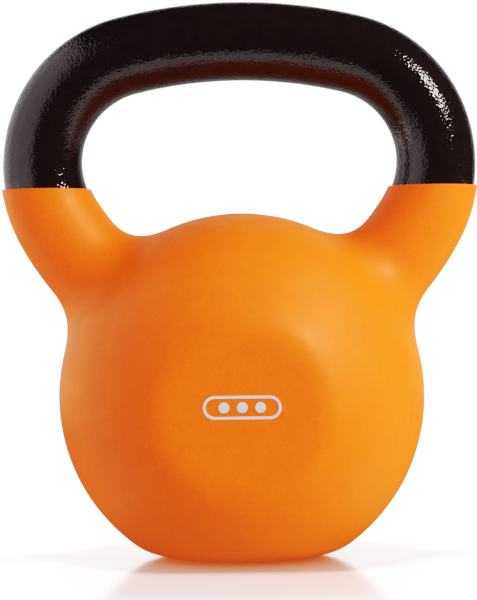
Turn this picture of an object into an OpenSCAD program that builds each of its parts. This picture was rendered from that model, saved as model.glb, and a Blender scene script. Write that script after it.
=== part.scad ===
// Kettlebell: an iron casting whose grip is enamelled and whose ball and horns wear a neoprene
// jacket, with a printed weight badge on the front. Millimetres, +Z up, origin at the centre of
// the base. The grip's window opens along Y, and the front disc faces -Y.

/* [Ball] */
// Radius of the jacketed ball
ball_r = 90.3; // [86:0.1:94]
// Height of the ball's centre above the floor
ball_z = 79.1; // [76:0.1:82]
// Distance from the ball's centre to each of the two flat discs, front and back
disc_d = 80.9; // [77:0.1:84]
// Lean of each disc, whose top edge stands further out than its bottom edge
disc_lean = 3.4; // [0:0.1:6]
// Width of the rounding round each disc
disc_blend = 3; // [1.5:0.1:8]
// Width of the rounding round the base
base_blend = 6.3; // [3:0.1:10]

/* [Handle] */
// Height of the grip's top above the floor
overall_h = 273.9; // [270:0.1:277]
// Diameter of the enamelled grip
grip_d = 39; // [36:0.1:41]
// Radius of the grip's crown, on its centreline
crown_r = 236; // [210:1:260]
// Angle of half the crown
crown_angle = 13.5; // [12:0.1:15]
// Radius of the grip's corners, on their centreline
corner_r = 55; // [53:0.1:57]
// Turn of each corner
corner_angle = 105.6; // [103:0.1:108]
// Radius of each horn's bend, on its centreline
horn_bend_r = 123; // [110:1:135]
// Lean of each horn from the vertical where it enters the ball
horn_lean = 47.7; // [45:0.1:50]
// Length of each horn's straight centreline, which ends inside the ball
horn_len = 100; // [80:1:110]
// Height above the floor where the grip begins to thicken into its horns
flare_z = 191; // [185:1:200]
// Growth of the horn's radius for each millimetre below that height
horn_flare = 0.038; // [0:0.002:0.06]
// Width of the blend between the ball and the horns
horn_blend = 17.2; // [12:0.1:24]

/* [Coatings] */
// Height of the jacket's two rims above the floor
rim_z = 182; // [178:0.1:185]
// Thickness of the neoprene jacket
jacket_t = 1.9; // [1.4:0.1:3]
// Thickness of the enamel on the grip
enamel_t = 0.4; // [0.3:0.05:0.6]

/* [Weight badge] */
// Length of the badge's rounded outline
badge_l = 36.5; // [30:0.5:38]
// Height of the badge's rounded outline
badge_h = 11; // [9:0.5:14]
// Width of the outline's printed line
badge_line = 1.3; // [0.8:0.1:2]
// Number of dots inside the outline, one for each eight kilograms
badge_dots = 3; // [1:1:3]
// Diameter of each dot
dot_d = 5; // [3:0.1:6]
// Height of the badge's centre above the disc's centre
badge_rise = 2.4; // [0:0.1:6]
// Thickness of the ink
ink_t = 0.2; // [0.1:0.05:0.3]

/* [Hidden] */

// Sampling of the swept surfaces
ring_half = 20;        // steps in half a ring
crown_rings = 4;       // rings along half the crown
corner_rings = 13;     // rings from the crown to the rim
ball_rings = 29;       // steps from the rim to the bottom of the ball
lap_rings = 2;         // of those, the steps where the jacket laps the enamel
root_steps = 24;       // halvings in each search for the surface
probe_step = 8;        // spacing of the samples that find the inside of a section
probe_reach = 240;     // length of the line of samples
pivot_rise = 30;       // how far the fan of sections climbs above the rim
level_from = 60;       // heading on the corner from which sections start to level out
flare_blend = 20;      // width of the rounding where the flare begins
sink = 0.02;           // depth of the ink's back in the jacket
$fn = 48;

ring_size = 2 * ring_half;
iron_grip_r = grip_d / 2 - enamel_t;
handle_reach = grip_d;
ball_reach = 1.25 * ball_r;

// Angles run from +Z towards +X
function heading(a) = [sin(a), cos(a)];

// Centres of the arcs in the handle's centreline, as [x, z] for the +X side
crown_c = [0, overall_h - grip_d / 2 - crown_r];
corner_c = crown_c + (crown_r - corner_r) * heading(crown_angle);
bend_from = crown_angle + corner_angle;
bend_to = 90 + horn_lean;
bend_c = corner_c + (corner_r - horn_bend_r) * heading(bend_from);
horn_start = bend_c + horn_bend_r * heading(bend_to);
horn_dir = heading(bend_to + 90);
rim_angle = acos((rim_z - corner_c.y) / corner_r);

function clamp(v, low, high) = min(max(v, low), high);

// Smooth minimum and maximum, which round the crease between two surfaces over a width k
function blend_min(a, b, k) = let (h = max(k - abs(a - b), 0) / k) min(a, b) - h * h * k / 4;
function blend_max(a, b, k) = -blend_min(-a, -b, k);

// Distance in the XZ plane from q to an arc about c
function arc_gap(q, c, r, from, to) = let (
    a = atan2(q.x - c.x, q.y - c.y),
    turned = a < from - 90 ? a + 360 : a
) norm(q - c - r * heading(clamp(turned, from, to)));

function line_gap(q, start, dir, len) =
    norm(q - start - clamp((q - start) * dir, 0, len) * dir);

function centreline_gap(q) = min(
    arc_gap(q, crown_c, crown_r, 0, crown_angle),
    arc_gap(q, corner_c, corner_r, crown_angle, bend_from),
    arc_gap(q, bend_c, horn_bend_r, bend_from, bend_to),
    line_gap(q, horn_start, horn_dir, horn_len)
);

// Signed distances, in millimetres, to the bare casting: negative inside
function bar(p) =
    norm([centreline_gap([p.x, p.z]), p.y]) - iron_grip_r
    - horn_flare * blend_max(flare_z - p.z, 0, flare_blend);
function disc(p) =
    abs(p.y) * cos(disc_lean) - (p.z - ball_z) * sin(disc_lean) - disc_d + jacket_t;
function ball(p) =
    blend_max(norm([p.x, p.y, p.z - ball_z]) - ball_r + jacket_t, disc(p), disc_blend);
function casting(p) =
    blend_max(blend_min(ball(p), bar(p), horn_blend), jacket_t - p.z, base_blend);

// A section is [centre, direction, reach]: a plane through the Y direction that cuts the object
// in one closed loop. Its direction points away from the grip's window.
function point_on(section, side, across) = [
    section[0].x + side * section[1].x,
    across,
    section[0].y + side * section[1].y
];

// Distance from a section's centre to the surface that lies offset outside the casting
function surface_at(section, a, offset, low, high, n) =
    let (mid = (low + high) / 2)
    n == 0 ? mid
    : casting(point_on(section, mid * cos(a), mid * sin(a))) < offset
        ? surface_at(section, a, offset, mid, high, n - 1)
        : surface_at(section, a, offset, low, mid, n - 1);
function edge_at(section, a, offset = 0) =
    surface_at(section, a, offset, 0, section[2], root_steps);

// Sections of the handle, from the middle of the crown to just before the rim
function handle_section(a) = let (
    on_crown = a < crown_angle,
    c = on_crown ? crown_c : corner_c,
    r = on_crown ? crown_r : corner_r,
    level = (90 - level_from) / (rim_angle - level_from),
    tilt = a < level_from ? a : level_from + (a - level_from) * level
) [c + r * heading(a), heading(tilt), handle_reach];

// Sections of the horns and ball, which fan out from above the window's floor. Each centre is
// halfway between the section's inner and outer edges.
function fan_section(a) = let (
    pivot = [0, rim_z + pivot_rise * sin(a)],
    dir = heading(90 + a),
    probes = [for (s = [probe_step:probe_step:probe_reach])
        [casting(point_on([pivot, dir], s, 0)), s]],
    depth = min([for (q = probes) q[0]]),
    within = [for (q = probes) if (q[0] == depth) q[1]][0],
    start = [pivot + within * dir, dir, ball_reach],
    middle = within + (edge_at(start, 0) - edge_at(start, 180)) / 2
) [pivot + middle * dir, dir, ball_reach];

crown_sections = [for (i = [0:crown_rings - 1]) handle_section(crown_angle * i / crown_rings)];
corner_sections = [for (i = [0:corner_rings - 1])
    handle_section(crown_angle + (rim_angle - crown_angle) * i / corner_rings)];
handle_sections = concat(crown_sections, corner_sections);
ball_sections = [for (i = [0:ball_rings]) fan_section(90 * i / ball_rings)];

// One ring of points in a section, on the surface that lies offset outside the casting
function ring(section, offset) = [for (i = [0:ring_size - 1])
    let (a = 360 * i / ring_size, r = edge_at(section, a, offset))
    point_on(section, r * cos(a), r * sin(a))];
function rings(sections, offset) = [for (s = sections) ring(s, offset)];

function part_of(list, from, to) = [for (i = [from:to]) list[i]];

// The same rings on the -X side, in the opposite order
function mirrored(list) = [for (i = [len(list) - 1:-1:0]) [for (p = list[i]) [-p.x, p.y, p.z]]];

// Faces between ring a and ring b. Turning them over keeps their diagonals, so that two skins on
// the same rings meet without a gap or an overlap.
function band(a, b, over = false) = [for (j = [0:ring_size - 1])
    let (
        k = (j + 1) % ring_size,
        a0 = a * ring_size + j,
        a1 = a * ring_size + k,
        b0 = b * ring_size + j,
        b1 = b * ring_size + k
    )
    each over ? [[a0, b1, a1], [a0, b0, b1]] : [[a0, a1, b1], [a0, b1, b0]]];

// A solid whose skin runs through a closed loop of rings
module ring_loop(loop) {
    count = len(loop);
    polyhedron(
        [for (r = loop, p = r) p],
        [for (i = [0:count - 1]) each band(i, (i + 1) % count)]
    );
}

// A shell between two open rows of rings, closed at both ends
module shell(outer, inner) {
    first = len(outer);
    last = first + len(inner) - 1;
    polyhedron(
        [for (r = concat(outer, inner), p = r) p],
        concat(
            [for (i = [0:first - 2]) each band(i, i + 1)],
            band(first - 1, last),
            [for (i = [first:last - 1]) each band(i, i + 1, over = true)],
            band(first, 0)
        )
    );
}

// The casting: ball, horns and grip in one pour
module iron_casting() {
    grip = rings(handle_sections, 0);
    below = rings(ball_sections, 0);
    color("dimgray")
    ring_loop(concat(
        grip,
        below,
        mirrored(part_of(below, 0, ball_rings - 1)),
        mirrored(part_of(grip, 1, len(grip) - 1))
    ));
}

// Black enamel on the grip, which runs on under the jacket's rims
module handle_enamel() {
    sections = concat(handle_sections, part_of(ball_sections, 0, lap_rings));
    last = len(sections) - 1;
    outer = rings(sections, enamel_t);
    inner = rings(sections, 0);
    color("black")
    shell(
        concat(mirrored(part_of(outer, 1, last)), outer),
        concat(mirrored(part_of(inner, 1, last)), inner)
    );
}

// Orange neoprene over the ball, the base and the horns, open at the two rims
module neoprene_jacket() {
    outer = rings(ball_sections, jacket_t);
    lapped = rings(part_of(ball_sections, 0, lap_rings), enamel_t);
    bare = rings(part_of(ball_sections, lap_rings, ball_rings), 0);
    inner = concat(lapped, bare);
    color("darkorange")
    shell(
        concat(outer, mirrored(part_of(outer, 0, len(outer) - 2))),
        concat(inner, mirrored(part_of(inner, 0, len(inner) - 2)))
    );
}

// A bar with round ends, centred, as long and as high as given
module stadium(l, h) {
    square([l - h, h], center = true);
    for (side = [-1, 1])
        translate([side * (l - h) / 2, 0])
            circle(d = h);
}

// Pale ink on the front disc: dots in a row inside a rounded outline
module weight_badge() {
    pitch = (badge_l - badge_h) / badge_dots;
    color("gainsboro")
    translate([0, 0, ball_z])
        rotate([90 + disc_lean, 0, 0])
            translate([0, badge_rise, disc_d - sink])
                linear_extrude(ink_t + sink) {
                    difference() {
                        stadium(badge_l, badge_h);
                        stadium(badge_l - 2 * badge_line, badge_h - 2 * badge_line);
                    }
                    for (i = [0:badge_dots - 1])
                        translate([(i - (badge_dots - 1) / 2) * pitch, 0])
                            circle(d = dot_d);
                }
}

iron_casting();
handle_enamel();
neoprene_jacket();
weight_badge();
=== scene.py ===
"""Looks of the kettlebell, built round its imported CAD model.

The CAD surfaces follow one rule: a signed distance to the bare casting, whose coatings lie at
fixed offsets outside it. The same rule is sampled here on a much finer grid, so every piece lies
on its CAD node. The rule works in millimetres, and meshes are made in metres.
"""
import math

import bmesh
import bpy
import numpy as np
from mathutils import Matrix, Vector, noise


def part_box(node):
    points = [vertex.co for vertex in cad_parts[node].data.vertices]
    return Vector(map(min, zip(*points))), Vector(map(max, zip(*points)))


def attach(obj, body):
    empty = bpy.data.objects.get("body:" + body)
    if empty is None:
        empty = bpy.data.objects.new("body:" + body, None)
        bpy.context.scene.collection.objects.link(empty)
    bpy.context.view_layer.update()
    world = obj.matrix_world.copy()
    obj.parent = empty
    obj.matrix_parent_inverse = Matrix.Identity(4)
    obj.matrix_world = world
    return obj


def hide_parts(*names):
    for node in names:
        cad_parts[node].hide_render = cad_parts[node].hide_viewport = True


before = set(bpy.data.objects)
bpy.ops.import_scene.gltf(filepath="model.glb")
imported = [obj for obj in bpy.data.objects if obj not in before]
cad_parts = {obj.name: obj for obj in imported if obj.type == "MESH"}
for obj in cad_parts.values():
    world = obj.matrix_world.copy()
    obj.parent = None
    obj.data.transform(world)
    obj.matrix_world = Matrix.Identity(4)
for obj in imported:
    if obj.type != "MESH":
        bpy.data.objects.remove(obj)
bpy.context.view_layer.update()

MM = 0.001

# ---------------------------------------------------------------------------- sizes, from the frame
casting_low, casting_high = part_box("iron_casting")
enamel_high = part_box("handle_enamel")[1]
jacket_low, jacket_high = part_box("neoprene_jacket")

OVERALL_H = enamel_high.z / MM
RIM_Z = jacket_high.z / MM
ENAMEL_T = (enamel_high.z - casting_high.z) / MM
JACKET_T = (casting_low.z - jacket_low.z) / MM

# The rest of the shape, as the part's source has it
BALL_R = 90.3
BALL_Z = 79.1
DISC_D = 80.9
DISC_LEAN = math.radians(3.4)
DISC_BLEND = 3.0
BASE_BLEND = 6.3
GRIP_D = 39.0
CROWN_R = 236.0
CROWN_ANGLE = math.radians(13.5)
CORNER_R = 55.0
CORNER_ANGLE = math.radians(105.6)
HORN_BEND_R = 123.0
HORN_LEAN = math.radians(47.7)
HORN_LEN = 100.0
HORN_FLARE = 0.038
FLARE_Z = 191.0
FLARE_BLEND = 20.0
HORN_BLEND = 17.2
PIVOT_RISE = 30.0
LEVEL_FROM = math.radians(60)
LAP_RINGS = 2
BALL_RINGS = 29
LAP_ANGLE = math.radians(90 * LAP_RINGS / BALL_RINGS)


def heading(angle):
    """The direction (x, z) at an angle from +Z towards +X."""
    return np.array([math.sin(angle), math.cos(angle)])


CROWN_C = np.array([0, OVERALL_H - GRIP_D / 2 - CROWN_R])
CORNER_C = CROWN_C + (CROWN_R - CORNER_R) * heading(CROWN_ANGLE)
BEND_FROM = CROWN_ANGLE + CORNER_ANGLE
BEND_TO = math.pi / 2 + HORN_LEAN
BEND_C = CORNER_C + (CORNER_R - HORN_BEND_R) * heading(BEND_FROM)
HORN_START = BEND_C + HORN_BEND_R * heading(BEND_TO)
HORN_DIR = heading(BEND_TO + math.pi / 2)
RIM_ANGLE = math.acos((RIM_Z - CORNER_C[1]) / CORNER_R)


# ---------------------------------------------------------------------------- the shape's rule
def blend_min(a, b, width):
    """Smooth minimum, which rounds the crease between two surfaces over a width."""
    h = np.maximum(width - np.abs(a - b), 0) / width
    return np.minimum(a, b) - h * h * width / 4


def blend_max(a, b, width):
    return -blend_min(-a, -b, width)


def arc_gap(x, z, centre, radius, start, end):
    """Distance in the XZ plane to an arc."""
    dx, dz = x - centre[0], z - centre[1]
    angle = np.arctan2(dx, dz)
    angle = np.where(angle < start - math.pi / 2, angle + 2 * math.pi, angle)
    angle = np.clip(angle, start, end)
    return np.hypot(dx - radius * np.sin(angle), dz - radius * np.cos(angle))


def centreline_gap(x, z):
    """Distance in the XZ plane to the handle's centreline."""
    along = np.clip((x - HORN_START[0]) * HORN_DIR[0] + (z - HORN_START[1]) * HORN_DIR[1], 0, HORN_LEN)
    horn = np.hypot(x - HORN_START[0] - along * HORN_DIR[0], z - HORN_START[1] - along * HORN_DIR[1])
    arcs = [
        arc_gap(x, z, CROWN_C, CROWN_R, 0, CROWN_ANGLE),
        arc_gap(x, z, CORNER_C, CORNER_R, CROWN_ANGLE, BEND_FROM),
        arc_gap(x, z, BEND_C, HORN_BEND_R, BEND_FROM, BEND_TO),
    ]
    return np.minimum.reduce(arcs + [horn])


def casting(p):
    """Signed distance to the bare casting: negative inside. p holds x, y and z in its last axis."""
    x, y, z = np.abs(p[..., 0]), p[..., 1], p[..., 2]
    bar = np.hypot(centreline_gap(x, z), y) - GRIP_D / 2 + ENAMEL_T
    bar = bar - HORN_FLARE * blend_max(FLARE_Z - z, 0, FLARE_BLEND)
    disc = np.abs(y) * math.cos(DISC_LEAN) - (z - BALL_Z) * math.sin(DISC_LEAN) - DISC_D + JACKET_T
    ball = np.sqrt(x * x + y * y + (z - BALL_Z) ** 2) - BALL_R + JACKET_T
    ball = blend_max(ball, disc, DISC_BLEND)
    return blend_max(blend_min(ball, bar, HORN_BLEND), JACKET_T - z, BASE_BLEND)


def outward(p, step=0.05):
    """Unit normals of the rule's surfaces at points p."""
    axes = np.eye(3) * step
    slope = np.stack([casting(p + a) - casting(p - a) for a in axes], axis=-1)
    return slope / np.linalg.norm(slope, axis=-1, keepdims=True)


# ---------------------------------------------------------------------------- sections
# A section is a plane through the Y direction that cuts the object in one closed loop:
# [centre x, centre z, direction x, direction z, reach]. Its direction points away from the window.
HANDLE_REACH = GRIP_D
BALL_REACH = 1.25 * BALL_R
HALVINGS = 30          # steps in each search for the surface
PROBE_STEP = 8.0       # spacing of the samples that find the inside of a section
PROBE_REACH = 240.0    # end of the line of samples
MIRROR = np.array([-1, 1, 1])


def on_section(section, side, across):
    x = section[..., 0, None] + side * section[..., 2, None]
    z = section[..., 1, None] + side * section[..., 3, None]
    return np.stack([x, across, z], axis=-1)


def edge(sections, turns, offset):
    """Distance from each section's centre to the surface offset outside the casting, at each turn."""
    low = np.zeros((len(sections), len(turns)))
    high = low + sections[:, 4, None]
    for _ in range(HALVINGS):
        middle = (low + high) / 2
        inside = casting(on_section(sections, middle * np.cos(turns), middle * np.sin(turns))) < offset
        low = np.where(inside, middle, low)
        high = np.where(inside, high, middle)
    return (low + high) / 2


def handle_section(angle):
    """A section square to the grip, which levels out towards the rim."""
    centre, radius = (CROWN_C, CROWN_R) if angle < CROWN_ANGLE else (CORNER_C, CORNER_R)
    level = (math.pi / 2 - LEVEL_FROM) / (RIM_ANGLE - LEVEL_FROM)
    tilt = angle if angle < LEVEL_FROM else LEVEL_FROM + (angle - LEVEL_FROM) * level
    return [*(centre + radius * heading(angle)), *heading(tilt), HANDLE_REACH]


def fan_section(angle, drop=0.0):
    """A section of the horns and ball, from a fan above the window's floor. With a drop, it lies
    that far below the rim and stays level."""
    pivot = np.array([0, RIM_Z - drop + PIVOT_RISE * math.sin(angle)])
    direction = heading(math.pi / 2 + angle)
    probes = np.arange(PROBE_STEP, PROBE_REACH, PROBE_STEP)
    line = np.array([[*pivot, *direction, 0.0]])
    depth = casting(on_section(line, probes[None], np.zeros((1, len(probes)))))[0]
    within = probes[depth.argmin()]
    start = np.array([[*(pivot + within * direction), *direction, BALL_REACH]])
    out, back = edge(start, np.array([0, math.pi]), 0)[0]
    return [*(pivot + (within + (out - back) / 2) * direction), *direction, BALL_REACH]


def skin(sections, columns, offset):
    """Rows of points on the surface that lies offset outside the casting. offset is one number,
    or one for each section."""
    sections = np.array(sections)
    turns = np.arange(columns) * 2 * math.pi / columns
    offset = np.broadcast_to(np.reshape(offset, (-1, 1)), (len(sections), columns))
    r = edge(sections, turns, offset)
    return on_section(sections, r * np.cos(turns), r * np.sin(turns))


def both_sides(rows):
    """The rows on the -X side followed by the given ones, the first of which lies on the middle
    plane and so is its own mirror image."""
    return np.concatenate([rows[:0:-1] * MIRROR, rows])


# ---------------------------------------------------------------------------- meshes
def new_object(name, mesh):
    made = bpy.data.objects.new(name, mesh)
    bpy.context.scene.collection.objects.link(made)
    return made


def closed_skin(name, rows):
    """A solid whose skin runs round a closed loop of closed rings."""
    count, columns = rows.shape[:2]
    i, j = np.meshgrid(np.arange(count), np.arange(columns), indexing="ij")
    k, m = (i + 1) % count, (j + 1) % columns
    quads = np.stack([i * columns + j, i * columns + m, k * columns + m, k * columns + j], axis=-1)
    mesh = bpy.data.meshes.new(name)
    mesh.from_pydata((rows.reshape(-1, 3) * MM).tolist(), [], quads.reshape(-1, 4).tolist())
    work = bmesh.new()
    work.from_mesh(mesh)
    bmesh.ops.recalc_face_normals(work, faces=work.faces)
    work.to_mesh(mesh)
    work.free()
    mesh.shade_smooth()
    return new_object(name, mesh)


def lumps(points, wavelength, octaves=2):
    """Smooth seeded noise from 0 to 1 at each point."""
    flat = points.reshape(-1, 3) / wavelength
    values = [noise.fractal(Vector(p), 0.6, 2.1, octaves) for p in flat.tolist()]
    return np.clip(np.array(values).reshape(points.shape[:-1]) / 2 + 0.5, 0, 1)


def sunk(points, depth):
    """Points moved inwards along their normals."""
    return points - outward(points) * depth[..., None]


# ---------------------------------------------------------------------------- pieces
GRIP_COLUMNS = 160
BALL_COLUMNS = 288
CAST_COLUMNS = 120
RIM_ROUND = 0.45       # rounding of the jacket's upper edges
HIDDEN_STEP = 6        # a skin that nothing shows keeps one row in this many
GRIP_SWELL = 9.0       # size of the grip's broad lumps, and their depth
GRIP_SWELL_DEPTH = 0.05
GRIP_GRAIN = 4.2       # size of the smaller lumps, and their depth
GRIP_GRAIN_DEPTH = 0.06
GRAIN_SHIFT = 300      # moves the smaller lumps to another part of the noise
LIP_DEPTH = 0.15       # how far the jacket's lip reaches into the enamel
INNER_GAP = 0.05       # between the jacket's hidden inside and the casting
RIM_STEP = math.radians(1.0)   # from the rim to the first of the jacket's plain sections
JACKET_WAVE = 24.0     # size of the jacket's slow wave, and its depth
JACKET_WAVE_DEPTH = 0.16
WAVE_FADE_ROWS = 8     # rows over which the wave sets in below the rim


def handle_sections(crown_rows, corner_rows):
    crown = [handle_section(CROWN_ANGLE * i / crown_rows) for i in range(crown_rows)]
    turn = RIM_ANGLE - CROWN_ANGLE
    return crown + [handle_section(CROWN_ANGLE + turn * i / corner_rows) for i in range(corner_rows)]


def fan_sections(first, last, rows):
    return [fan_section(first + (last - first) * i / rows) for i in range(rows + 1)]


def make_cast_body():
    """Ball, horns and grip in one pour, under the coatings."""
    grip = skin(handle_sections(20, 40), CAST_COLUMNS, 0)
    below = skin(fan_sections(0, math.pi / 2, 70), CAST_COLUMNS, 0)
    half = np.concatenate([grip, below])
    rows = np.concatenate([half, half[-2:0:-1] * MIRROR])
    return closed_skin("cast_body", rows)


def make_enamelled_grip():
    """Gloss enamel over the sand-cast grip, whose lumps show through it."""
    sections = handle_sections(78, 152) + fan_sections(0, LAP_ANGLE, 12)
    outer = both_sides(skin(sections, GRIP_COLUMNS, ENAMEL_T))
    swell = lumps(outer, GRIP_SWELL, 1)
    grain = lumps(outer + GRAIN_SHIFT, GRIP_GRAIN, 2)
    outer = sunk(outer, GRIP_SWELL_DEPTH * (1 - swell) + GRIP_GRAIN_DEPTH * (1 - grain))
    inner = both_sides(skin(sections[::HIDDEN_STEP] + sections[-1:], GRIP_COLUMNS, 0))
    return closed_skin("enamelled_grip", np.concatenate([outer, inner[::-1]]))


def make_orange_jacket():
    """Neoprene over the ball, base and horns, open at its two rounded rims."""
    rounding = np.radians([0, 15, 30, 45, 60, 75, 90])
    rim = [fan_section(0, RIM_ROUND * (1 - math.sin(a))) for a in rounding[::-1]]
    rim_offsets = JACKET_T - RIM_ROUND * (1 - np.cos(rounding[::-1]))
    lip = ENAMEL_T - LIP_DEPTH
    ball = fan_sections(RIM_STEP, math.pi / 2, 118)
    edge_rows = skin([rim[0]] * 2 + rim, BALL_COLUMNS, [lip, (lip + JACKET_T) / 2, *rim_offsets])
    wave = skin(ball, BALL_COLUMNS, JACKET_T)
    fade = np.minimum(np.arange(len(ball)) / WAVE_FADE_ROWS, 1)[:, None]
    wave = sunk(wave, JACKET_WAVE_DEPTH * (1 - lumps(wave, JACKET_WAVE, 1)) * fade)
    outer = np.concatenate([edge_rows, wave])
    inner = skin(ball[::HIDDEN_STEP], BALL_COLUMNS, INNER_GAP)
    inner = np.concatenate([skin(ball[:1], BALL_COLUMNS, lip), inner])
    middle = skin(ball[-1:], BALL_COLUMNS, INNER_GAP)
    loop = [outer, outer[-2::-1] * MIRROR, inner * MIRROR, middle, inner[::-1]]
    return closed_skin("orange_jacket", np.concatenate(loop))


# ---------------------------------------------------------------------------- weight badge
BADGE_L = 36.5
BADGE_H = 11.0
BADGE_LINE = 1.3
BADGE_DOTS = 3
DOT_D = 5.0
BADGE_RISE = 2.4
INK_T = 0.2
INK_SINK = 0.25        # deeper than the jacket's wave, so that the ink's back never shows
INK_SOFT = INK_T * 0.8
INK_CORNER = np.radians([0, 30, 60, 90])
END_TURNS = 49
BAR_STEPS = 64


def on_disc(points):
    """Points (along, up, out) on the front disc's plane, as points of the frame."""
    up = np.array([0, -math.sin(DISC_LEAN), math.cos(DISC_LEAN)])
    out = np.array([0, -math.cos(DISC_LEAN), -math.sin(DISC_LEAN)])
    centre = np.array([0, 0, BALL_Z]) + BADGE_RISE * up + DISC_D * out
    return centre + points[..., :1] * [1, 0, 0] + points[..., 1:2] * up + points[..., 2:] * out


def badge_outline():
    """The printed line: a soft-edged bead round a bar with round ends."""
    radius = (BADGE_H - BADGE_LINE) / 2
    straight = (BADGE_L - BADGE_H) / 2
    turns = np.radians(np.linspace(-90, 90, END_TURNS))
    right = np.stack([straight + radius * np.cos(turns), radius * np.sin(turns)], axis=-1)
    across = np.stack([np.cos(turns), np.sin(turns)], axis=-1)
    fill = np.linspace(1, -1, BAR_STEPS + 2)[1:-1] * straight
    top = np.stack([fill, np.full(BAR_STEPS, radius)], axis=-1)
    path = np.concatenate([right, top, -right, -top])
    above = np.tile([0, 1], (BAR_STEPS, 1))
    side = np.concatenate([across, above, -across, -above])
    half = BADGE_LINE / 2
    inwards = half - INK_SOFT * (1 - np.cos(INK_CORNER))
    upwards = INK_T - INK_SOFT * (1 - np.sin(INK_CORNER))
    rise = np.stack([inwards, upwards], axis=-1)
    profile = np.concatenate([[[half, -INK_SINK]], rise, rise[::-1] * [-1, 1], [[-half, -INK_SINK]]])
    flat = path[:, None] + side[:, None] * profile[None, :, :1]
    height = np.broadcast_to(profile[None, :, 1:], (*flat.shape[:2], 1))
    return np.concatenate([flat, height], axis=-1)


def badge_dot(along):
    """One dot of ink: a disc with a soft edge, as rings from its underside's centre to its top's."""
    half = DOT_D / 2
    edge_r = half - INK_SOFT * (1 - np.cos(INK_CORNER))
    edge_z = INK_T - INK_SOFT * (1 - np.sin(INK_CORNER))
    radii = np.concatenate([[half / 2, half], edge_r, edge_r[-1] * np.array([0.8, 0.6, 0.4, 0.2])])
    heights = np.concatenate([[-INK_SINK, -INK_SINK], edge_z, np.full(4, INK_T)])
    turns = np.radians(np.arange(0, 360, 5))
    ring = np.stack([np.cos(turns), np.sin(turns)], axis=-1)
    flat = radii[:, None, None] * ring[None] + [along, 0]
    height = np.broadcast_to(heights[:, None, None], (*flat.shape[:2], 1))
    return np.concatenate([flat, height], axis=-1)


def add_grid(work, points, closed):
    """Adds rows of points as quads, joined end to end if closed, or else capped at both ends."""
    rows = [[work.verts.new(p) for p in row] for row in (on_disc(points) * MM).tolist()]
    columns = len(rows[0])
    for i in range(len(rows) if closed else len(rows) - 1):
        a, b = rows[i], rows[(i + 1) % len(rows)]
        for j in range(columns):
            k = (j + 1) % columns
            work.faces.new([a[j], a[k], b[k], b[j]])
    if not closed:
        work.faces.new(rows[0])
        work.faces.new(rows[-1][::-1])


def make_badge():
    """Pale ink on the front disc: three dots inside a rounded outline."""
    work = bmesh.new()
    add_grid(work, badge_outline(), closed=True)
    pitch = (BADGE_L - BADGE_H) / BADGE_DOTS
    for i in range(BADGE_DOTS):
        add_grid(work, badge_dot((i - (BADGE_DOTS - 1) / 2) * pitch), closed=False)
    bmesh.ops.recalc_face_normals(work, faces=work.faces)
    mesh = bpy.data.meshes.new("printed_badge")
    work.to_mesh(mesh)
    work.free()
    mesh.shade_smooth()
    return new_object("printed_badge", mesh)


# ---------------------------------------------------------------------------- materials
class Nodes:
    """A material's node tree, with short forms for the nodes that the materials here share."""

    def __init__(self, name):
        self.material = bpy.data.materials.new(name)
        self.material.use_nodes = True
        self.tree = self.material.node_tree
        self.shader = self.tree.nodes["Principled BSDF"]
        self.place = self.tree.nodes.new("ShaderNodeTexCoord").outputs["Object"]

    def link(self, source, target):
        self.tree.links.new(source, target)

    def set(self, **values):
        """Sets the shader's own sockets: Base_Color stands for the socket Base Color."""
        for key, value in values.items():
            self.shader.inputs[key.replace("_", " ")].default_value = value

    def noise(self, size_mm, detail=2.0, roughness=0.5, distortion=0.0):
        """Noise with features of about the given size."""
        node = self.tree.nodes.new("ShaderNodeTexNoise")
        node.inputs["Scale"].default_value = 1 / (size_mm * MM)
        node.inputs["Detail"].default_value = detail
        node.inputs["Roughness"].default_value = roughness
        node.inputs["Distortion"].default_value = distortion
        self.link(self.place, node.inputs["Vector"])
        return node.outputs["Fac"]

    def remap(self, value, low, high, to_low, to_high):
        node = self.tree.nodes.new("ShaderNodeMapRange")
        for socket, number in zip(("From Min", "From Max", "To Min", "To Max"), (low, high, to_low, to_high)):
            node.inputs[socket].default_value = number
        self.link(value, node.inputs["Value"])
        return node.outputs["Result"]

    def mix(self, factor, a, b):
        """A colour between a and b, each of which is a colour or a socket."""
        node = self.tree.nodes.new("ShaderNodeMix")
        node.data_type = "RGBA"
        self.link(factor, node.inputs["Factor"])
        for name, value in (("A", a), ("B", b)):
            socket = next(s for s in node.inputs if s.name == name and s.type == "RGBA")
            if isinstance(value, bpy.types.NodeSocket):
                self.link(value, socket)
            else:
                socket.default_value = (*value, 1)
        return next(s for s in node.outputs if s.type == "RGBA")

    def bump(self, height, depth_mm, normal=None):
        node = self.tree.nodes.new("ShaderNodeBump")
        node.inputs["Strength"].default_value = 1.0
        node.inputs["Distance"].default_value = depth_mm * MM
        self.link(height, node.inputs["Height"])
        if normal:
            self.link(normal, node.inputs["Normal"])
        return node.outputs["Normal"]

    def finish(self, colour=None, roughness=None, normal=None):
        for name, socket in (("Base Color", colour), ("Roughness", roughness), ("Normal", normal)):
            if socket:
                self.link(socket, self.shader.inputs[name])
        return self.material


def jacket_material():
    """Matt orange neoprene: a powdery grain, faint blotches and an uneven sheen."""
    n = Nodes("orange_neoprene")
    n.set(Diffuse_Roughness=0.2, Specular_IOR_Level=0.27)
    grain = n.noise(0.8, 3, 0.6)
    blotch = n.noise(9.0, 3, 0.6)
    colour = n.mix(n.remap(grain, 0.3, 0.7, 0, 1), (0.88, 0.116, 0.0008), (0.95, 0.145, 0.0012))
    colour = n.mix(n.remap(blotch, 0.35, 0.75, 0, 0.35), colour, (0.84, 0.106, 0.0008))
    roughness = n.remap(blotch, 0.3, 0.7, 0.41, 0.48)
    normal = n.bump(n.noise(2.6, 2), 0.05)
    normal = n.bump(grain, 0.05, normal)
    return n.finish(colour, roughness, normal)


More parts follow.
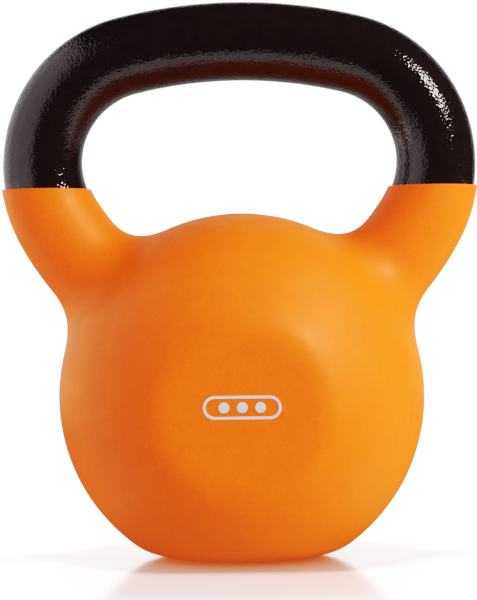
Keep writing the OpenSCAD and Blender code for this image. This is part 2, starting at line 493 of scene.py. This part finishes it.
def enamel_material():
    """Gloss black enamel, which follows the sand grain of the casting under it."""
    n = Nodes("gloss_black_enamel")
    haze = n.noise(6.0, 3)
    n.set(Specular_Tint=(1.0, 0.91, 0.92, 1))
    colour = n.mix(n.remap(haze, 0.35, 0.65, 0, 1), (0.0130, 0.0070, 0.0072), (0.0160, 0.0086, 0.0088))
    roughness = n.remap(haze, 0.3, 0.7, 0.05, 0.09)
    normal = n.bump(n.noise(3.2, 2), 0.12)
    normal = n.bump(n.noise(1.25, 1, 0.4), 0.23, normal)
    return n.finish(colour, roughness, normal)


def iron_material():
    """Bare shot-blasted grey iron, with a little rust bloom."""
    n = Nodes("shot_blasted_iron")
    n.set(Metallic=0.85)
    blast = n.noise(0.9, 3, 0.6)
    bloom = n.noise(14.0, 4, 0.6)
    colour = n.mix(n.remap(blast, 0.3, 0.7, 0, 1), (0.16, 0.16, 0.165), (0.27, 0.27, 0.275))
    colour = n.mix(n.remap(bloom, 0.6, 0.8, 0, 0.5), colour, (0.16, 0.085, 0.05))
    return n.finish(colour, n.remap(bloom, 0.3, 0.7, 0.5, 0.75), n.bump(blast, 0.12))


def ink_material():
    """Pale grey printing ink, slightly thin where the neoprene's grain stands up through it."""
    n = Nodes("pale_grey_ink")
    grain = n.noise(0.8, 3, 0.6)
    patch = n.noise(3.0, 2)
    colour = n.mix(n.remap(grain, 0.35, 0.7, 0, 1), (0.50, 0.49, 0.53), (0.60, 0.585, 0.63))
    colour = n.mix(n.remap(patch, 0.55, 0.8, 0, 0.5), colour, (0.46, 0.42, 0.44))
    return n.finish(colour, n.remap(patch, 0.3, 0.7, 0.5, 0.65), n.bump(grain, 0.04))


# ---------------------------------------------------------------------------- studio
BACKDROP_WHITE = 2.0
TABLE_FRONT = -0.34    # the table's front edge, which shows in the grip as the end of its reflection
TABLE_BACK = 0.95
TABLE_SIDE = 1.6
BALL_FOOT = 0.075      # half the width of the patch of table under the ball, which throws no light back
WALL_X = -0.56         # the wall to the left
WALL_H = 1.0
KEY = (1.02, -0.85, 0.90)
SOFT_LIGHT = 0.73      # the world's light on matt surfaces
FLOOR_HALF = 2.6
FADE_FROM = 0.16       # distance from the object at which the table starts to fade to white
FADE_TO = 0.36
LAMP_RISE = 0.001      # of the table's lights above it
WASH_ENERGY = 3.2
WASH_ANGLE = math.radians(12)
WHITE_LEVEL = 1.8
TONES = [
    (0.02, 0.011), (0.06, 0.045), (0.1, 0.1), (0.2, 0.3),
    (0.36, 0.495), (0.7, 0.69), (1.0, 0.82), (1.5, 0.95),
]
CAMERA_PLACE = (-0.0011, -1.2375, 0.1284)
CAMERA_TILT = math.radians(90) - 0.0016
CAMERA_ROLL = 0.0108
LENS_MM = 150
SENSOR_MM = 36


def floor_material():
    """A white satin table, which fades to the backdrop's white away from the object."""
    n = Nodes("white_table")
    colour = n.mix(n.noise(60.0, 2), (0.86, 0.86, 0.86), (0.88, 0.88, 0.88))
    n.set(Roughness=0.12)
    distance = n.tree.nodes.new("ShaderNodeVectorMath")
    distance.operation = "LENGTH"
    n.link(n.place, distance.inputs[0])
    far = n.remap(distance.outputs["Value"], FADE_FROM, FADE_TO, 0, 1)
    rays = n.tree.nodes.new("ShaderNodeLightPath")
    seen = n.tree.nodes.new("ShaderNodeMath")
    seen.operation = "MULTIPLY"
    n.link(far, seen.inputs[0])
    n.link(rays.outputs["Is Camera Ray"], seen.inputs[1])
    white = n.tree.nodes.new("ShaderNodeEmission")
    white.inputs["Strength"].default_value = BACKDROP_WHITE
    fade = n.tree.nodes.new("ShaderNodeMixShader")
    n.link(seen.outputs[0], fade.inputs[0])
    n.link(n.shader.outputs[0], fade.inputs[1])
    n.link(white.outputs[0], fade.inputs[2])
    n.link(fade.outputs[0], n.tree.nodes["Material Output"].inputs["Surface"])
    return n.finish(colour)


def make_floor():
    """The table top. The light that it throws back comes from the panels of add_table_light."""
    mesh = bpy.data.meshes.new("floor")
    h = FLOOR_HALF
    mesh.from_pydata([(-h, -h, 0), (h, -h, 0), (h, h, 0), (-h, h, 0)], [], [(0, 1, 2, 3)])
    floor = new_object("floor", mesh)
    floor.data.materials.append(floor_material())
    floor.visible_diffuse = False
    floor.visible_glossy = False
    return floor


def receivers(name, pieces):
    """A set of objects that some of the lights are kept for."""
    lit = bpy.data.collections.new(name)
    for piece in pieces:
        lit.objects.link(piece)
    return lit


def add_panel(name, centre, target, width, height, radiance, lit, mirrored):
    """A soft rectangular light on the receivers lit, which the camera doesn't see. Shiny surfaces
    mirror it, or else matt ones are lit by it."""
    light = bpy.data.lights.new(name, "AREA")
    light.shape = "RECTANGLE"
    light.size = width
    light.size_y = height
    light.energy = radiance * math.pi * width * height
    lamp = new_object(name, light)
    lamp.location = centre
    lamp.rotation_euler = (Vector(target) - Vector(centre)).to_track_quat("-Z", "Y").to_euler()
    lamp.visible_camera = False
    lamp.visible_diffuse = not mirrored
    lamp.visible_glossy = mirrored
    lamp.light_linking.receiver_collection = lit
    return lamp


def add_left_wall(name, front, back, radiance, lit, mirrored):
    """A strip of the white wall to the left, from one y to another."""
    centre = Vector((WALL_X, (front + back) / 2, WALL_H / 2))
    add_panel(name, centre, centre + Vector((1, 0, 0)), back - front, WALL_H, radiance, lit, mirrored)


def add_table_light(name, x0, x1, y0, y1, radiance, lit, mirrored):
    """The light that a part of the table throws back up."""
    centre = Vector(((x0 + x1) / 2, (y0 + y1) / 2, LAMP_RISE))
    add_panel(name, centre, centre + Vector((0, 0, 1)), x1 - x0, y1 - y0, radiance, lit, mirrored)


def add_mirrored_lights(everything, gloss):
    """What the object mirrors: a key softbox, a long white wall to the left, a low one behind, and
    the table. The wall's front and the table are kept for the gloss alone, because they made the
    jacket's edges too pale."""
    add_panel("key_mirrored", KEY, (0, 0, 0.22), 0.3, 0.3, radiance=36, lit=everything, mirrored=True)
    add_left_wall("wall_end", -1.05, -0.75, radiance=0.75, lit=gloss, mirrored=True)
    add_left_wall("wall_front", -0.75, -0.40, radiance=1.38, lit=gloss, mirrored=True)
    add_left_wall("wall_middle", -0.40, 0, radiance=1.5, lit=gloss, mirrored=True)
    add_left_wall("wall_back", 0, 0.40, radiance=1.2, lit=everything, mirrored=True)
    add_left_wall("wall_corner", 0.40, TABLE_BACK, radiance=0.4, lit=everything, mirrored=True)
    add_panel(
        "rear_wall", (0, TABLE_BACK, 0.5), (0, 0, 0.5), 2.0, 1.0,
        radiance=0.5, lit=everything, mirrored=True,
    )
    side, foot = TABLE_SIDE, BALL_FOOT
    add_table_light("table_front", -side, side, TABLE_FRONT, -foot, radiance=1.35, lit=gloss, mirrored=True)
    add_table_light("table_left", -side, -foot, -foot, foot, radiance=0.75, lit=gloss, mirrored=True)
    add_table_light("table_right", foot, side, -foot, foot, radiance=0.75, lit=gloss, mirrored=True)
    add_table_light("table_near_back", -side, side, foot, 0.4, radiance=0.75, lit=gloss, mirrored=True)
    add_table_light("table_far_back", -side, side, 0.4, TABLE_BACK, radiance=0.4, lit=gloss, mirrored=True)


def add_soft_lights(lit):
    """What lights the object's matt surfaces: the key, fills to the right, rims and the table."""
    middle = (0, 0, 0.12)
    add_panel("key", KEY, middle, 0.42, 0.42, radiance=2.05, lit=lit, mirrored=False)
    add_panel(
        "right_front_fill", (0.95, -1.0, 0.35), middle, 0.6, 0.6,
        radiance=6.97, lit=lit, mirrored=False,
    )
    add_panel("right_fill", (1.3, -0.45, 0.35), middle, 0.6, 0.6, radiance=6.08, lit=lit, mirrored=False)
    add_panel("top_right_fill", (1.0, -0.1, 1.3), middle, 0.7, 0.7, radiance=6.07, lit=lit, mirrored=False)
    add_left_wall("left_rim", 0.10, 0.40, radiance=1.9, lit=lit, mirrored=False)
    add_panel(
        "rear_left_fill", (-0.6, TABLE_BACK, 0.4), (-0.6, 0, 0.4), 0.8, 0.8,
        radiance=1.36, lit=lit, mirrored=False,
    )
    add_panel(
        "rear_right_fill", (0.6, TABLE_BACK, 0.4), (0.6, 0, 0.4), 0.8, 0.8,
        radiance=0.92, lit=lit, mirrored=False,
    )
    side, foot = TABLE_SIDE, BALL_FOOT
    add_table_light("return_left", -side, -foot, -foot, foot, radiance=0.59, lit=lit, mirrored=False)
    add_table_light("return_right", foot, side, -foot, foot, radiance=0.75, lit=lit, mirrored=False)
    add_table_light("return_back", -side, side, foot, TABLE_BACK, radiance=0.96, lit=lit, mirrored=False)


def light_table(lit):
    """A wash over the table from above, and the white backdrop that the table mirrors."""
    wash = bpy.data.lights.new("table_wash", "SUN")
    wash.energy = WASH_ENERGY
    wash.angle = WASH_ANGLE
    lamp = new_object("table_wash", wash)
    lamp.light_linking.receiver_collection = lit
    backdrop = add_panel("backdrop", (0, 1.8, 1.0), (0, 0, 1.0), 6.0, 2.0, BACKDROP_WHITE, lit, True)
    backdrop.visible_diffuse = True


def make_world():
    """A white backdrop to the camera, a soft all-round light on matt surfaces, and nothing for shiny
    ones to mirror."""
    world = bpy.data.worlds.new("studio")
    world.use_nodes = True
    tree = world.node_tree
    tree.nodes.clear()
    rays = tree.nodes.new("ShaderNodeLightPath")
    soft = tree.nodes.new("ShaderNodeBackground")
    soft.inputs["Color"].default_value = (1, 1, 1, 1)
    soft.inputs["Strength"].default_value = SOFT_LIGHT
    white = tree.nodes.new("ShaderNodeBackground")
    white.inputs["Color"].default_value = (1, 1, 1, 1)
    white.inputs["Strength"].default_value = BACKDROP_WHITE
    either = tree.nodes.new("ShaderNodeMixShader")
    out = tree.nodes.new("ShaderNodeOutputWorld")
    tree.links.new(rays.outputs["Is Camera Ray"], either.inputs[0])
    tree.links.new(soft.outputs[0], either.inputs[1])
    tree.links.new(white.outputs[0], either.inputs[2])
    tree.links.new(either.outputs[0], out.inputs["Surface"])
    world.cycles_visibility.glossy = False
    bpy.context.scene.world = world


def set_tones():
    """A contrasty photographic tone curve, on top of the plain Standard view."""
    view = bpy.context.scene.view_settings
    view.view_transform = "Standard"
    view.look = "None"
    view.use_curve_mapping = True
    view.curve_mapping.white_level = (WHITE_LEVEL, WHITE_LEVEL, WHITE_LEVEL)
    curve = view.curve_mapping.curves[3]
    for value, shown in TONES:
        curve.points.new(value / WHITE_LEVEL, shown)
    for point in curve.points:
        point.handle_type = "AUTO_CLAMPED"
    view.curve_mapping.update()


def make_camera():
    """A view from straight in front and just below the object's middle, through a long lens. The
    slight roll is a compromise between the photograph's rims and its outline."""
    data = bpy.data.cameras.new("camera")
    data.lens = LENS_MM
    data.sensor_width = SENSOR_MM
    camera = new_object("camera", data)
    camera.location = CAMERA_PLACE
    camera.rotation_euler = (CAMERA_TILT, CAMERA_ROLL, 0)
    bpy.context.scene.camera = camera


# ---------------------------------------------------------------------------- the object
PIECES = [
    (make_cast_body, iron_material, "iron_casting", "casting"),
    (make_enamelled_grip, enamel_material, "handle_enamel", "enamel"),
    (make_orange_jacket, jacket_material, "neoprene_jacket", "jacket"),
    (make_badge, ink_material, "weight_badge", "ink"),
]

made = []
for make, material, node, slot in PIECES:
    piece = make()
    piece.data.materials.append(material())
    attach(piece, "root")
    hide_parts(node)
    made.append(piece)

make_camera()
lit_object = receivers("lit_object", made)
add_mirrored_lights(lit_object, receivers("lit_gloss", made[1:2]))
add_soft_lights(lit_object)
light_table(receivers("lit_table", [make_floor()]))
make_world()
set_tones()
